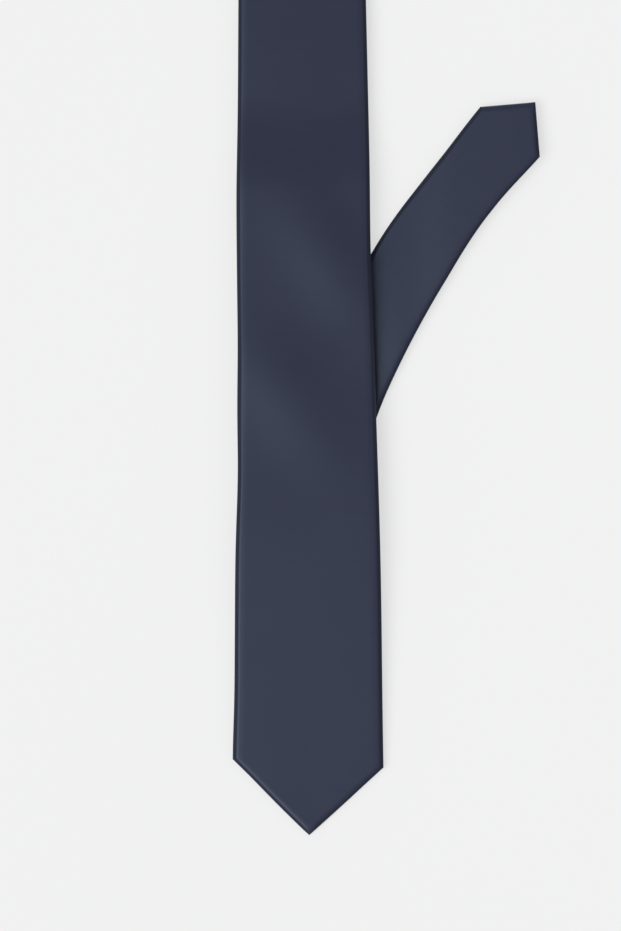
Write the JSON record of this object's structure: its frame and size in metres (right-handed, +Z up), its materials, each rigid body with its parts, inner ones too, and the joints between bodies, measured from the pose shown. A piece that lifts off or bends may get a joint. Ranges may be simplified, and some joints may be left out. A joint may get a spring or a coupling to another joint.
{
  "type": "necktie",
  "caption": "Slim pointed necktie of dark navy satin, lying face up and doubled at the neck, its narrow tail turned out from under the front blade.",
  "frame": {"origin": "middle of the footprint of the folded tie, on the surface that it lies on", "axes": "+Y along the front blade from its point towards the neck fold, +Z up out of the front blade's face, +X to the right seen from above"},
  "size_m": [0.125, 0.7182, 0.009],
  "materials": {
    "satin_shell": "fine navy satin with a soft sheen",
    "wool_interlining": "napped woven wool blend",
    "plain_tipping": "plain smooth lining",
    "navy_thread": "twisted sewing thread",
    "woven_label": "damask woven blank label",
    "white_label": "satin ribbon blank label"
  },
  "bodies": {
    "tail_strip": {"neck_fold_cloth": "satin_shell", "neck_fold_interlining": "wool_interlining", "neck_cloth_rear": "satin_shell", "tail_cloth": "satin_shell", "tail_interlining": "wool_interlining", "tail_slip_stitches": "navy_thread", "tail_fold_cloth": "satin_shell", "tail_fold_interlining": "wool_interlining"},
    "front_blade": {"front_cloth": "satin_shell", "front_interlining": "wool_interlining", "front_tipping": "plain_tipping", "front_bar_tack": "navy_thread", "front_slip_stitches": "navy_thread", "keeper_loop": "satin_shell", "keeper_stitches": "navy_thread", "blank_label": "woven_label", "label_stitches": "navy_thread", "care_label": "white_label", "neck_cloth_front": "satin_shell"},
    "tail_end": {"tail_end_cloth": "satin_shell", "tail_end_interlining": "wool_interlining", "tail_tipping": "plain_tipping", "tail_bar_tack": "navy_thread", "tail_end_slip_stitches": "navy_thread"}
  },
  "joints": [
    {"name": "neck_fold", "type": "hinge", "parent": "tail_strip", "child": "front_blade", "pos_m": [-0.03249, 0.3587, 0.0031], "axis": [-1, 0, 0], "range_deg": [0, 178], "deforming": ["neck_fold_cloth", "neck_fold_interlining"]},
    {"name": "tail_crease", "type": "hinge", "parent": "tail_strip", "child": "tail_end", "pos_m": [-0.03284, -0.22938, 0.00285], "axis": [-0.989, 0.1478, 0], "range_deg": [0, 150], "deforming": ["tail_fold_cloth", "tail_fold_interlining"]}
  ]
}
